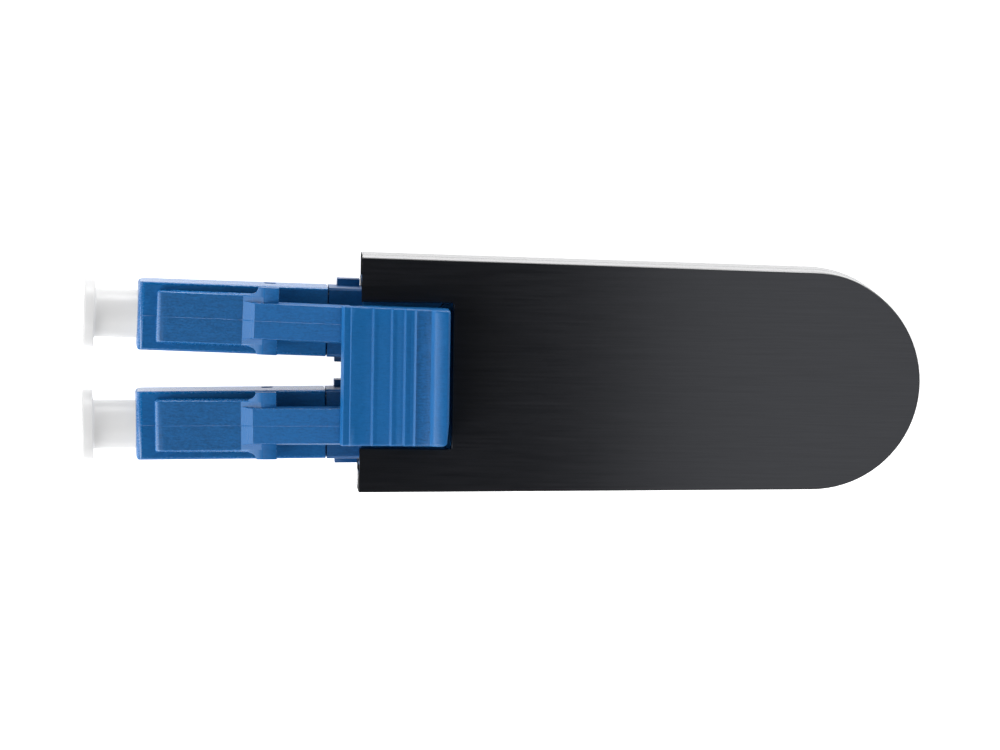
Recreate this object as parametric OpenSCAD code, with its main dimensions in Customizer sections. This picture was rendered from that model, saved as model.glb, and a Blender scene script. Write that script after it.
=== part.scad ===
// Duplex fibre loopback plug.
// Two snap-in fibre plugs, held side by side by a duplex clip with an
// anti-snag trigger, stand out of a flat housing with a round end. One fibre
// runs from the ferrule of one plug, round the inside of the round end, and
// back to the ferrule of the other.
// +X runs from the plugs towards the round end, +Z is up through the trigger.
// The origin is at the centre of the outline, on the flat underside.
// Lengths called "station" are measured along X from the noses of the plugs.

/* [Housing] */
// Station of the open front face of the housing
housing_front = 14.5; // [14.45:0.01:14.55]
// Station of the far point of the round end
housing_end = 50.8; // [50:0.05:54]
// Radius of the round end
end_r = 7.06; // [7.0:0.02:7.2]
// Height of the housing
housing_h = 8.0; // [8:0.05:8.4]
// Angle that each side wall leans in towards the round end, degrees
side_taper = 1.12; // [1.0:0.02:1.2]
// Thickness of the side walls
wall = 1.2; // [1.1:0.05:1.2]
// Half width of the trigger's notch in the top
notch_half = 4.74; // [4.7:0.01:4.8]
// Station of the notch's rear edge
notch_end = 20.44; // [20.4:0.01:20.5]

/* [Plugs] */
// Side of the square plug body
plug_w = 4.5; // [4.44:0.01:4.52]
// Distance between the plug axes when they are parallel
pitch = 6.25; // [6.25:0.01:6.3]
// Angle by which each plug stands outwards at rest, degrees
splay = 1.27; // [1.1:0.01:1.3]
// Radius of the ferrule
ferrule_r = 0.625; // [0.6245:0.0005:0.6255]
// How far the ferrule stands out of the nose
ferrule_out = 1.8; // [1.6:0.05:2.0]
// Radius of the bore round the ferrule
sleeve_r = 1.66; // [1.64:0.01:1.7]
// Width of the low collar round the rear body
collar_w = 5.42; // [5.4:0.01:5.6]
// Height of the collar's top over the ferrule axis
collar_top = -0.9; // [-1:0.05:0]

/* [Trigger] */
// Width of the trigger at its front
trigger_w = 9.1; // [8.8:0.05:9.1]
// Width of the trigger at its rear
trigger_w_rear = 8.8; // [8.6:0.05:8.8]
// Height of each step of the grip
step_h = 0.22; // [0.15:0.01:0.22]

/* [Dust caps] */
// Radius of the cap's pull flange
cap_flange_r = 2.31; // [2.2:0.01:2.4]
// Radius of the cap's tube
cap_tube_r = 1.59; // [1.5:0.01:1.6]

/* [Fibre] */
// Radius of the buffered fibre
fibre_r = 0.45; // [0.4:0.01:0.45]
// Radius of the loop in the round end
loop_r = 5.2; // [5.15:0.01:5.2]

/* [Hidden] */
$fn = 64;
e = 0.01;

pivot = 20.7;                    // station that the plugs turn about
cap_front = -3.48;               // station of the cap's outer face
// lowest and highest stations of the whole outline
low_s = pivot - (pivot - cap_front) * cos(splay) - cap_flange_r * sin(splay);
x_ref = (housing_end + low_s) / 2;
axis_z = 4.0;                    // height of the ferrule axes
split_z = 4.0;                   // height of the joint between the shells
floor_t = 1.1;                   // floor and roof thickness
end_c = housing_end - end_r;     // station of the round end's centre
pw = plug_w / 2;
top_z = 2.9;                     // top of the clip over the ferrule axis
hinge_s = 19.75;                 // trigger hinge, station and height over axis
hinge_z = 3.25;
blue = "royalblue";
dark_blue = "steelblue";

// ---- outline of the housing, moved in by "inset" all round ----
function side_y(s, inset) = (end_r - inset - (s - end_c) * sin(side_taper)) / cos(side_taper);

module outline(inset, z0, z1, s0 = housing_front) {
    r = end_r - inset;
    tx = end_c + r * sin(side_taper);
    ty = r * cos(side_taper);
    translate([-x_ref, 0, z0]) union() {
        translate([end_c, 0, 0]) cylinder(r = r, h = z1 - z0, $fn = 160);
        linear_extrude(height = z1 - z0)
            polygon([[s0, -side_y(s0, inset)], [tx, -ty], [tx, ty], [s0, side_y(s0, inset)]]);
    }
}

// box by stations, half widths and heights in the part's frame
module sbox(s0, s1, y0, y1, z0, z1) {
    translate([s0 - x_ref, y0, z0]) cube([s1 - s0, y1 - y0, z1 - z0]);
}

// ---- shells ----
module top_shell() color("black") {
    difference() {
        outline(0, split_z, housing_h);
        outline(wall, split_z - 1, housing_h - floor_t, housing_front - 1);
        // step that takes the lower shell's tongue
        outline(0.6, split_z - 1, split_z + 0.55, housing_front - 1);
        // notch for the trigger
        sbox(housing_front - 1, notch_end, -notch_half, notch_half, split_z, housing_h + 1);
    }
    // pins that press into the bosses of the lower shell
    for (s = [31, end_c])
        translate([s - x_ref, 0, 2.6]) cylinder(r = 0.75, h = housing_h - floor_t - 2.6 + 0.2);
}

module boss(s) {
    translate([s - x_ref, 0, floor_t - 0.2]) cylinder(r = 1.4, h = 3.6);
}

module bottom_shell() color("black") {
    difference() {
        union() {
            difference() {
                union() {
                    outline(0, 0, split_z);
                    outline(0.65, split_z - 0.5, split_z + 0.5);
                }
                outline(wall, floor_t, split_z + 2, housing_front - 1);
            }
            // low sill in front of the clip and rib behind it
            sbox(housing_front, 14.62, -6, 6, floor_t - 0.2, floor_t + 0.4);
            sbox(20.65, 21.25, -6.0, 6.0, floor_t - 0.2, 2.1);
            boss(31);
            boss(end_c);
            // spool inside the loop of fibre
            translate([end_c - x_ref, 0, floor_t - 0.2]) difference() {
                cylinder(r = 4.6, h = 4.1);
                translate([0, 0, -1]) cylinder(r = 3.9, h = 6);
            }
            // posts that lead the fibre out from the boots to the loop
            for (m = [-1, 1]) translate([34 - x_ref, m * 2.4, floor_t - 0.2]) cylinder(r = 0.5, h = 4.1);
        }
        for (s = [31, end_c])
            translate([s - x_ref, 0, 2.4]) cylinder(r = 0.75, h = 4);
    }
}

// ---- duplex clip ----
module duplex_clip() color(blue) {
    difference() {
        sbox(14.62, 20.65, -6.2, 6.2, axis_z - top_z, axis_z + top_z);
        for (m = [-1, 1])
            sbox(14, 22, min(m * 0.84, m * 5.53), max(m * 0.84, m * 5.53), axis_z - pw - 0.04, axis_z + pw + 0.04);
        // seat under the trigger's hinge
        translate([hinge_s - x_ref, 0, axis_z + hinge_z]) rotate([90, 0, 0])
            cylinder(r = 0.45, h = 7, center = true);
        // lightening slots beside the hinge seat
        for (m = [-1, 1])
            sbox(16.2, 18.4, m * 3.1 - 1.3, m * 3.1 + 1.3, axis_z + pw - 0.5, axis_z + 4);
    }
}

// ---- trigger ----
// side view: stations and heights over the ferrule axis
z1 = 5.62;
z2 = z1 + step_h + 0.02;
z3 = z2 + step_h + 0.02;
z4 = z3 + step_h + 0.02;
z5 = z4 + step_h - 0.03;
cove_r = 1.354;
cove = [18.24, z5 + 1.34];
grip = concat(
    [[13.06, 4.93], [13.38, 5.50], [13.76, 5.50], [13.81, z1],
     [15.19, z1 + 0.02], [15.26, z2], [16.40, z2 + 0.02], [16.47, z3],
     [17.25, z3 + 0.02], [17.32, z4], [17.93, z4 + 0.02], [18.00, z5]],
    [for (i = [0 : 7]) let (a = -98 + i * 8.54) [cove[0] + cove_r * cos(a), cove[1] + cove_r * sin(a)]],
    [[19.42, 7.20], [20.04, 7.20], [20.15, 7.15], [20.19, 7.04],
     [20.19, 3.6], [20.15, hinge_z], [19.35, hinge_z], [19.30, 3.42], [14.60, 3.85], [14.60, 4.93]]);

module side_cut(points, y0, y1) {
    translate([-x_ref, 0, axis_z]) rotate([90, 0, 0]) translate([0, 0, -y1])
        linear_extrude(height = y1 - y0) polygon(points);
}

module trigger_plan() {
    wf = trigger_w / 2;
    wr = trigger_w_rear / 2;
    // the rear corner is rounded more on the -Y side
    translate([-x_ref, 0, 0]) linear_extrude(height = 20) union() {
        polygon([[13, -wf], [20.19 - 0.5, -wr], [20.19 - 0.5, wr], [13, wf]]);
        polygon([[19, -wr + 0.5], [20.19, -wr + 0.5], [20.19, wr - 0.15], [20.19 - 0.15, wr], [19, wr]]);
        translate([20.19 - 0.5, -wr + 0.5]) circle(r = 0.5, $fn = 48);
        translate([20.19 - 0.15, wr - 0.15]) circle(r = 0.15, $fn = 32);
    }
}

module trigger() color(blue) {
    difference() {
        intersection() {
            side_cut(grip, -5, 5);
            trigger_plan();
        }
        // the moulding is cored out from below
        for (m = [-1, 1])
            side_cut([[15.1, 3], [15.1, 4.75], [17.3, 5.2], [18.2, 5.5], [19.1, 5.7], [19.1, 3]],
                     m > 0 ? 0.45 : -3.75, m > 0 ? 3.75 : -0.45);
    }
    // knuckle of the hinge
    translate([hinge_s - x_ref, 0, axis_z + hinge_z]) rotate([90, 0, 0])
        cylinder(r = 0.4, h = 6, center = true);
}

// ---- plug: drawn along X from its nose at 0, axis at height 0 ----
module place(m) {
    translate([pivot - x_ref, m * pitch / 2, axis_z]) rotate([0, 0, -m * splay])
        translate([-pivot, 0, 0]) children();
}

module xcyl(s0, s1, r, f = 64) {
    translate([s0, 0, 0]) rotate([0, 90, 0]) cylinder(r = r, h = s1 - s0, $fn = f);
}

module xcone(s0, s1, ra, rb) {
    translate([s0, 0, 0]) rotate([0, 90, 0]) cylinder(r1 = ra, r2 = rb, h = s1 - s0);
}

module xbox(s0, s1, hy, z0, z1) {
    translate([s0, -hy, z0]) cube([s1 - s0, 2 * hy, z1 - z0]);
}

module xside(points, hy) {
    rotate([90, 0, 0]) translate([0, 0, -hy]) linear_extrude(height = 2 * hy) polygon(points);
}

module plug_body() color(blue) difference() {
    union() {
        // square body, its nose bevelled above and below
        intersection() {
            xside([[0, -pw + 0.4], [0.4, -pw], [12.32, -pw], [12.32, pw], [0.45, pw], [0, pw - 0.45]], 3);
            translate([0, 0, -3]) linear_extrude(height = 6)
                polygon([[0, -pw + 0.2], [0.2, -pw], [12.32, -pw], [12.32, pw], [0.2, pw], [0, pw - 0.2]]);
        }
        // root of the latch arm
        xside([[1.23, pw - 0.2], [1.23, pw], [1.69, 2.75], [2.0, 2.80], [2.0, pw - 0.2]], 1.75);
    }
    xcyl(-1, 3.2, sleeve_r);                    // bore round the ferrule
    xcyl(3, 4, 1.0);                            // way through for the flange's neck
    xcyl(3.75, 13, 1.62);                       // chamber of the ferrule and spring
    xbox(11.1, 13, 1.82, -1.82, 1.82);          // socket for the rear body
}

// Latch arm: it bends about its front face's lower edge
module latch_arm() color(blue) {
    xside([[2.0, 2.30], [2.0, 2.80], [6.79, 3.31], [8.2, 3.96], [8.2, 3.25], [7.4, 2.95], [6.8, 2.80]], 1.75);
    difference() {
        union() {
            xbox(8.2, 9.1, 2.175, 3.10, 3.96);
            xside([[7.6, 3.02], [7.6, 3.68], [8.25, 3.96], [8.25, 3.12]], 2.175);
        }
        // round hollows where the arm widens into its shoulders
        for (m = [-1, 1]) translate([7.77, m * 2.18, 2]) cylinder(r = 0.43, h = 3, $fn = 48);
        for (m = [-1, 1]) translate([7.2, m * 2.08 - 0.33, 2]) cube([0.57, 0.66, 3]);
    }
    xside([[6.79, 3.15], [6.79, 3.31], [7.55, 4.05], [13.0, 4.85], [13.45, 4.85], [13.68, 4.76], [13.78, 4.55],
           [13.78, 4.30], [13.68, 4.10], [13.45, 4.02], [8.6, 3.28]], 1.25);
}

module rear_body() color(dark_blue) difference() {
    union() {
        xbox(11.2, 12.6, 1.78, -1.78, 1.78);
        xbox(12.38, 20.5, pw, -pw, pw);
        xbox(12.95, 14.42, collar_w / 2, -2.6, collar_top);
    }
    xcyl(10, 19.9, 1.55);
    xcyl(19, 22, 1.2);
}

module spring_stop() color("silver") difference() {
    union() {
        xcyl(9.3, 19.85, 1.5);
        xcyl(19.8, 23.0, 1.15);
        for (s = [21.4, 22.0, 22.6]) xcyl(s, s + 0.25, 1.2);
    }
    xcyl(9, 24, 0.72);
    xcone(9.2, 9.9, 1.0, 0.7);
}

module boot() color("dimgray") difference() {
    union() {
        xcyl(20.8, 23.4, 1.65);
        xcone(23.35, 28.0, 1.5, 1.1);
        for (s = [24.0, 25.1, 26.2]) xcyl(s, s + 0.45, 1.55);
    }
    xcyl(20, 23.2, 1.22);
    xcyl(22, 29, 0.72);
}

module ferrule() color("white") {
    xcyl(-ferrule_out + 0.1, 4.9, ferrule_r);
    xcone(-ferrule_out, -ferrule_out + 0.1, ferrule_r - 0.12, ferrule_r);
}

module ferrule_flange() color("silver") difference() {
    union() {
        xcyl(3.1, 4.2, 0.9);
        translate([3.75, 0, 0]) rotate([0, 90, 0]) cylinder(r = 1.5, h = 1.2, $fn = 6);
        xcyl(4.5, 8.3, 0.85);
    }
    xcyl(3, 4.9, ferrule_r);
    xcyl(4.5, 9, 0.5);
}

// round wire coiled along X
wire_r = 0.13;
coil_r = 1.2;
coil_turns = 6.5;
coil_steps = 84;
coil_s0 = 4.95 + wire_r + 0.01;
coil_s1 = 9.3 - wire_r - 0.01;
function coil_u(t) = t < 0.12 ? t * 0.3 : (t > 0.88 ? 1 - (1 - t) * 0.3 : 0.036 + (t - 0.12) * (0.928 / 0.76));
module spring() color("silver") {
    pts = [for (i = [0 : coil_steps]) for (j = [0 : 7])
        let (t = i / coil_steps, a = t * 360 * coil_turns, b = j * 45,
             rr = coil_r + wire_r * cos(b))
        [coil_s0 + (coil_s1 - coil_s0) * coil_u(t) + wire_r * sin(b), rr * cos(a), rr * sin(a)]];
    sides = [for (i = [0 : coil_steps - 1]) for (j = [0 : 7])
        [i * 8 + j, i * 8 + (j + 1) % 8, (i + 1) * 8 + (j + 1) % 8, (i + 1) * 8 + j]];
    n = coil_steps * 8;
    polyhedron(points = pts, faces = concat([[for (j = [7 : -1 : 0]) j]], sides, [[for (j = [0 : 7]) n + j]]));
}

module dust_cap() color("whitesmoke") difference() {
    union() {
        xcyl(cap_front, cap_front + 0.71, cap_flange_r, 96);
        xcyl(cap_front + 0.5, 1.4, cap_tube_r);
    }
    xcyl(-2.3, 2, ferrule_r + 0.02);
    xcone(1.1, 1.45, ferrule_r, ferrule_r + 0.3);
}

// ---- fibre: thin glass in the plugs, buffered from the spring stops on ----
// hand-set way from the boots to the loop: station and distance from the middle
way = [[25, pitch / 2 - 4.3 * tan(splay)], [28.5, pitch / 2 - 7.8 * tan(splay)], [31.0, 2.98], [34.0, 3.50], [37.0, 4.28],
       [40.0, 4.92], [43.0, 5.20], [46.0, 4.60]];
function cr(a, b, c, d, t) = 0.5 * (2 * b + (c - a) * t + (2 * a - 5 * b + 4 * c - d) * t * t + (3 * b - a - 3 * c + d) * t * t * t);
function lead(s) = [s, pitch / 2 + (pivot - s) * tan(splay)];
half_way = concat(
    [[each lead(5.6), 0.125], [each lead(10.2), 0.125], [each lead(10.21), fibre_r], [each lead(20), fibre_r]],
    [for (i = [1 : len(way) - 3]) for (k = [0 : 2])
        let (p = cr(way[i - 1], way[i], way[i + 1], way[i + 2], k / 3)) [p[0], p[1], fibre_r]]);
round_way = [for (a = [84 : -12 : -84]) [end_c + loop_r * cos(a), loop_r * sin(a), fibre_r]];
n_half = len(half_way);
route = concat(half_way, round_way, [for (i = [n_half - 1 : -1 : 0]) [half_way[i][0], -half_way[i][1], half_way[i][2]]]);

module fibre_loop() color("gold") {
    n = len(route);
    m = 10;
    pts = [for (i = [0 : n - 1])
        let (a = route[max(0, i - 1)], b = route[min(n - 1, i + 1)],
             dx = b[0] - a[0], dy = b[1] - a[1], l = sqrt(dx * dx + dy * dy))
        for (j = [0 : m - 1])
            let (q = j * 360 / m)
            [route[i][0] - x_ref - route[i][2] * cos(q) * dy / l,
             route[i][1] + route[i][2] * cos(q) * dx / l,
             axis_z + route[i][2] * sin(q)]];
    sides = [for (i = [0 : n - 2]) for (j = [0 : m - 1])
        [i * m + j, i * m + (j + 1) % m, (i + 1) * m + (j + 1) % m, (i + 1) * m + j]];
    polyhedron(points = pts, faces = concat([[for (j = [m - 1 : -1 : 0]) j]], sides, [[for (j = [0 : m - 1]) (n - 1) * m + j]]));
}

top_shell();
bottom_shell();
duplex_clip();
trigger();
fibre_loop();
place(1) plug_body();  // plug_body_a
place(1) latch_arm();  // latch_arm_a
place(1) rear_body();  // rear_body_a
place(1) spring_stop();  // spring_stop_a
place(1) boot();  // boot_a
place(1) ferrule();  // ferrule_a
place(1) ferrule_flange();  // ferrule_flange_a
place(1) spring();  // spring_a
place(1) dust_cap();  // dust_cap_a
place(-1) plug_body();  // plug_body_b
place(-1) latch_arm();  // latch_arm_b
place(-1) rear_body();  // rear_body_b
place(-1) spring_stop();  // spring_stop_b
place(-1) boot();  // boot_b
place(-1) ferrule();  // ferrule_b
place(-1) ferrule_flange();  // ferrule_flange_b
place(-1) spring();  // spring_b
place(-1) dust_cap();  // dust_cap_b
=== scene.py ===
import bpy, bmesh, math, random
from mathutils import Vector, Matrix, noise


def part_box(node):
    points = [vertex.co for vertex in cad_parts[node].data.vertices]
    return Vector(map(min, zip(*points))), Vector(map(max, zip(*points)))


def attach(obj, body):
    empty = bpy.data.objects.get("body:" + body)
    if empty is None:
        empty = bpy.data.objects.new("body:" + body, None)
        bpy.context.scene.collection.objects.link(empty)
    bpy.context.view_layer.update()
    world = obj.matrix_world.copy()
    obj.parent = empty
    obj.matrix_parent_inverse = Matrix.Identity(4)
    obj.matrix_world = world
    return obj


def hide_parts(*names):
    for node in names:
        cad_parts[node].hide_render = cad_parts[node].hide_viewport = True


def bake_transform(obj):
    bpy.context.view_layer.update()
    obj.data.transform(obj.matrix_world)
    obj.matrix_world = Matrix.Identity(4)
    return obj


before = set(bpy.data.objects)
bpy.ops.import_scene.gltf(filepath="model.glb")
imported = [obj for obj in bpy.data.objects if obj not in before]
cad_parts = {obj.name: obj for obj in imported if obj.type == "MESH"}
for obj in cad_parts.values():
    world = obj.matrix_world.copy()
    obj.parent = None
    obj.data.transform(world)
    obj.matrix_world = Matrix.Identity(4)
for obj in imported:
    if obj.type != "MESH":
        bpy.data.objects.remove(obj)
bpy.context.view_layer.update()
rnd = random.Random(7)
MM = 0.001
scene = bpy.context.scene

# ---------------------------------------------------------------- places
# Stations are millimetres along X behind the noses of the plugs.
cap_lo, cap_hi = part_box("dust_cap_a")
shell_lo, shell_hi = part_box("bottom_shell")
HOUSING_FRONT = 14.5
X0 = shell_lo[0] / MM - HOUSING_FRONT          # row X of station 0, in mm
AXIS_Z = 4.0
PIVOT = 20.7
SPLAY = math.radians(1.27)
HALF_PITCH = 3.125
SIDES = {"a": 1, "b": -1}


def place(m):
    """Matrix from a plug's own frame (mm, nose at 0, axis at height 0) to the row frame in metres."""
    return (Matrix.Scale(MM, 4)
            @ Matrix.Translation((PIVOT + X0, m * HALF_PITCH, AXIS_Z))
            @ Matrix.Rotation(-m * SPLAY, 4, 'Z')
            @ Matrix.Translation((-PIVOT, 0, 0)))


STATIONS = Matrix.Scale(MM, 4) @ Matrix.Translation((X0, 0, AXIS_Z))   # station, y, height over the axis


# ---------------------------------------------------------------- materials
def new_material(name):
    m = bpy.data.materials.new(name)
    m.use_nodes = True
    nt = m.node_tree
    return m, nt, nt.nodes["Principled BSDF"]


def node(nt, kind, **values):
    n = nt.nodes.new(kind)
    for k, v in values.items():
        if k in n.inputs:
            n.inputs[k].default_value = v
        else:
            setattr(n, k, v)
    return n


def coords(nt, scale=(1, 1, 1), rot=(0, 0, 0)):
    tc = node(nt, "ShaderNodeTexCoord")
    mp = node(nt, "ShaderNodeMapping")
    mp.inputs["Scale"].default_value = scale
    mp.inputs["Rotation"].default_value = rot
    nt.links.new(tc.outputs["Object"], mp.inputs["Vector"])
    return mp.outputs["Vector"]


def noise_tex(nt, vec, scale, detail=3.0, rough=0.5):
    n = node(nt, "ShaderNodeTexNoise")
    n.inputs["Scale"].default_value = scale
    n.inputs["Detail"].default_value = detail
    n.inputs["Roughness"].default_value = rough
    nt.links.new(vec, n.inputs["Vector"])
    return n.outputs["Fac"]


def ramp(nt, fac, stops):
    r = node(nt, "ShaderNodeValToRGB")
    e = r.color_ramp.elements
    while len(e) < len(stops):
        e.new(0.5)
    for i, (p, c) in enumerate(stops):
        e[i].position = p
        e[i].color = (*c, 1) if len(c) == 3 else c
    nt.links.new(fac, r.inputs["Fac"])
    return r.outputs["Color"]


def grey(v):
    return (v, v, v)


def rough_ramp(nt, fac, lo, hi, a=0.3, b=0.7):
    m = node(nt, "ShaderNodeMapRange")
    m.inputs["From Min"].default_value = a
    m.inputs["From Max"].default_value = b
    m.inputs["To Min"].default_value = lo
    m.inputs["To Max"].default_value = hi
    nt.links.new(fac, m.inputs["Value"])
    return m.outputs["Result"]


def mix(nt, fac, a, b, kind="MIX"):
    m = node(nt, "ShaderNodeMix", data_type="RGBA", blend_type=kind)
    if isinstance(fac, float):
        m.inputs[0].default_value = fac
    else:
        nt.links.new(fac, m.inputs[0])
    for s, v in ((6, a), (7, b)):
        if isinstance(v, tuple):
            m.inputs[s].default_value = (*v, 1)
        else:
            nt.links.new(v, m.inputs[s])
    return m.outputs[2]


def math_node(nt, op, a, b=None, clamp=False):
    m = node(nt, "ShaderNodeMath", operation=op, use_clamp=clamp)
    for s, v in ((0, a), (1, b)):
        if v is None:
            continue
        if isinstance(v, (int, float)):
            m.inputs[s].default_value = v
        else:
            nt.links.new(v, m.inputs[s])
    return m.outputs[0]


def bump(nt, bsdf, height, strength, distance, normal=None):
    b = node(nt, "ShaderNodeBump")
    b.inputs["Strength"].default_value = strength
    b.inputs["Distance"].default_value = distance
    nt.links.new(height, b.inputs["Height"])
    if normal is not None:
        nt.links.new(normal, b.inputs["Normal"])
    nt.links.new(b.outputs["Normal"], bsdf.inputs["Normal"])
    return b.outputs["Normal"]


def moulded(name, dark, light, rough, grain=0.5, spec=0.35, flow=0.35, tone=1.3):
    """Moulded plastic: slow colour drift, fine eroded grain and faint flow marks along the part."""
    m, nt, b = new_material(name)
    v = coords(nt)
    slow = noise_tex(nt, v, 260, 3)
    fine = noise_tex(nt, coords(nt, (5200, 9000, 9000)), 1, 4, 0.62)
    streak = noise_tex(nt, coords(nt, (1500, 8200, 8200)), 1, 3)
    col = mix(nt, rough_ramp(nt, slow, 0.0, 1.0), dark, light)
    both = math_node(nt, "ADD", math_node(nt, "MULTIPLY", fine, 0.6), math_node(nt, "MULTIPLY", streak, 0.4))
    f = math_node(nt, "MULTIPLY_ADD", both, tone)
    nt.nodes[-1].inputs[2].default_value = 1.0 - tone / 2
    col = mix(nt, 1.0, col, f, "MULTIPLY")
    nt.links.new(col, b.inputs["Base Color"])
    nt.links.new(rough_ramp(nt, fine, rough - 0.06, rough + 0.10), b.inputs["Roughness"])
    b.inputs["Specular IOR Level"].default_value = spec
    n1 = bump(nt, b, fine, grain, 0.000034)
    bump(nt, b, streak, flow, 0.000016, n1)
    return m


BLUE = moulded("blue_moulding", (0.0026, 0.084, 0.256), (0.0034, 0.094, 0.280), 0.42)
BLUE_ARM = moulded("blue_grained", (0.0030, 0.074, 0.220), (0.0040, 0.083, 0.244), 0.42, 0.5, tone=1.7)
BLUE_TRIGGER = moulded("blue_clip", (0.0020, 0.089, 0.262), (0.0027, 0.096, 0.282), 0.40, 0.35, tone=0.75)
# lighter, glossier copy of the plug blue for rounded edges and ramps: the gloss is real, the lighter colour is a
# painted highlight
BLUE_EDGE_LIT = moulded("blue_edge_painted_highlight", (0.0030, 0.096, 0.285), (0.0040, 0.110, 0.320), 0.24, 0.14, 0.62, 0.10, 0.45)
BLUE_WALL = moulded("blue_wall", (0.0026, 0.084, 0.256), (0.0034, 0.094, 0.280), 0.25, 0.02, 0.45, 0.02, 0.5)
# darker copy of the plug blue for the rear bodies: painted shade from the tail and trigger above them; the slightly
# lower roughness is real
BLUE_REAR_SHADED = moulded("blue_rear", (0.0014, 0.052, 0.168), (0.0020, 0.060, 0.188), 0.36, 0.4)
# polished blue for the flare: the low roughness is real polish, the colour a little lighter than the plug blue is a
# painted highlight
BLUE_SMOOTH_LIT, nt, b = new_material("blue_polished_painted_lighter")
v = coords(nt)
lines = noise_tex(nt, coords(nt, (9000, 600, 600)), 1, 3, 0.6)
nt.links.new(mix(nt, rough_ramp(nt, noise_tex(nt, v, 500, 3), 0.0, 1.0), (0.0028, 0.092, 0.276), (0.0038, 0.104, 0.300)), b.inputs["Base Color"])
nt.links.new(rough_ramp(nt, lines, 0.21, 0.29), b.inputs["Roughness"])
b.inputs["Specular IOR Level"].default_value = 0.42
bump(nt, b, lines, 0.25, 0.000004)


def shell_material(name, top):
    """Black housing: brushed along X on the top, smooth and glossy on the sides."""
    m, nt, b = new_material(name)
    v = coords(nt)
    slow = noise_tex(nt, v, 120, 3)
    streak = noise_tex(nt, coords(nt, (170, 7000, 600)), 1, 5, 0.65)
    hair = noise_tex(nt, coords(nt, (420, 16000, 900)), 1, 3, 0.6)
    fine = noise_tex(nt, v, 9000, 3, 0.6)
    geo = node(nt, "ShaderNodeNewGeometry")
    sep = node(nt, "ShaderNodeSeparateXYZ")
    nt.links.new(geo.outputs["Normal"], sep.inputs[0])
    up = rough_ramp(nt, sep.outputs["Z"], 0.0, 1.0, 0.80, 0.98)
    both = math_node(nt, "ADD", math_node(nt, "MULTIPLY", streak, 0.6), math_node(nt, "MULTIPLY", hair, 0.4))
    base = mix(nt, rough_ramp(nt, slow, 0.0, 1.0), (0.0036, 0.0040, 0.0054), (0.0050, 0.0054, 0.0070))
    topc = mix(nt, rough_ramp(nt, both, 0.0, 1.0, 0.38, 0.62), (0.0024, 0.0028, 0.0042), (0.0070, 0.0074, 0.0093))
    nt.links.new(mix(nt, up, base, topc), b.inputs["Base Color"])
    if top:
        rt = rough_ramp(nt, both, 0.285, 0.315, 0.38, 0.62)
    else:
        rt = rough_ramp(nt, fine, 0.34, 0.44)
    rs = rough_ramp(nt, fine, 0.13, 0.19)
    rr = node(nt, "ShaderNodeMix", data_type="FLOAT")
    nt.links.new(up, rr.inputs[0])
    nt.links.new(rs, rr.inputs[2])
    nt.links.new(rt, rr.inputs[3])
    nt.links.new(rr.outputs[0], b.inputs["Roughness"])
    b.inputs["Specular IOR Level"].default_value = 0.5
    h = math_node(nt, "MULTIPLY", both, up)
    n1 = bump(nt, b, h, 0.35 if top else 0.1, 0.000010)
    bump(nt, b, fine, 0.10, 0.000006, n1)
    return m


SHELL_TOP = shell_material("black_shell_brushed", True)
SHELL_LOW = shell_material("black_shell_plain", False)

CUT, nt, b = new_material("black_cut_edge")
v = coords(nt)
nt.links.new(ramp(nt, noise_tex(nt, v, 1900, 4, 0.7),
                  [(0.38, (0.0016, 0.0015, 0.0010)), (0.60, (0.0045, 0.0038, 0.0018)), (0.76, (0.012, 0.0095, 0.004))]),
             b.inputs["Base Color"])
b.inputs["Specular IOR Level"].default_value = 0.15
nt.links.new(rough_ramp(nt, noise_tex(nt, v, 5200, 3), 0.62, 0.82), b.inputs["Roughness"])
bump(nt, b, noise_tex(nt, v, 5200, 4, 0.7), 0.6, 0.00004)



def milky(name, glow):
    """Milky plastic; the glow stands for light from the pale surroundings that comes through the wall."""
    m, nt, b = new_material(name)
    v = coords(nt)
    nt.links.new(ramp(nt, noise_tex(nt, v, 420, 3), [(0.3, (0.215, 0.215, 0.217)), (0.7, (0.255, 0.255, 0.257))]), b.inputs["Base Color"])
    nt.links.new(rough_ramp(nt, noise_tex(nt, v, 3000, 3), 0.36, 0.50), b.inputs["Roughness"])
    b.inputs["Emission Color"].default_value = (1, 1, 1, 1)
    b.inputs["Emission Strength"].default_value = glow
    bump(nt, b, noise_tex(nt, v, 2600, 3), 0.25, 0.00001)
    return m


CAP = milky("cap_milky", 0.46)
# the front faces get a copy with less painted glow, since the lamps already light them strongly
CAP_FACE_LESS_GLOW = milky("cap_milky_face_less_glow", 0.20)

CERAMIC, nt, b = new_material("ferrule_ceramic")
v = coords(nt)
nt.links.new(ramp(nt, noise_tex(nt, v, 700, 3), [(0.3, (0.80, 0.80, 0.76)), (0.7, (0.86, 0.86, 0.83))]), b.inputs["Base Color"])
nt.links.new(rough_ramp(nt, noise_tex(nt, coords(nt, (9000, 500, 500)), 1, 3), 0.10, 0.22), b.inputs["Roughness"])
bump(nt, b, noise_tex(nt, coords(nt, (14000, 400, 400)), 1, 2), 0.08, 0.000003)


def turned(name, a, c, lo, hi):
    m, nt, b = new_material(name)
    rings = noise_tex(nt, coords(nt, (11000, 700, 700)), 1, 4, 0.6)
    nt.links.new(ramp(nt, rings, [(0.3, a), (0.7, c)]), b.inputs["Base Color"])
    b.inputs["Metallic"].default_value = 1.0
    nt.links.new(rough_ramp(nt, rings, lo, hi), b.inputs["Roughness"])
    bump(nt, b, rings, 0.25, 0.000005)
    return m


NICKEL = turned("nickel_turned", (0.60, 0.58, 0.53), (0.74, 0.71, 0.66), 0.22, 0.36)
STEEL = turned("steel_wire", (0.50, 0.50, 0.51), (0.66, 0.66, 0.67), 0.20, 0.32)

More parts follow.
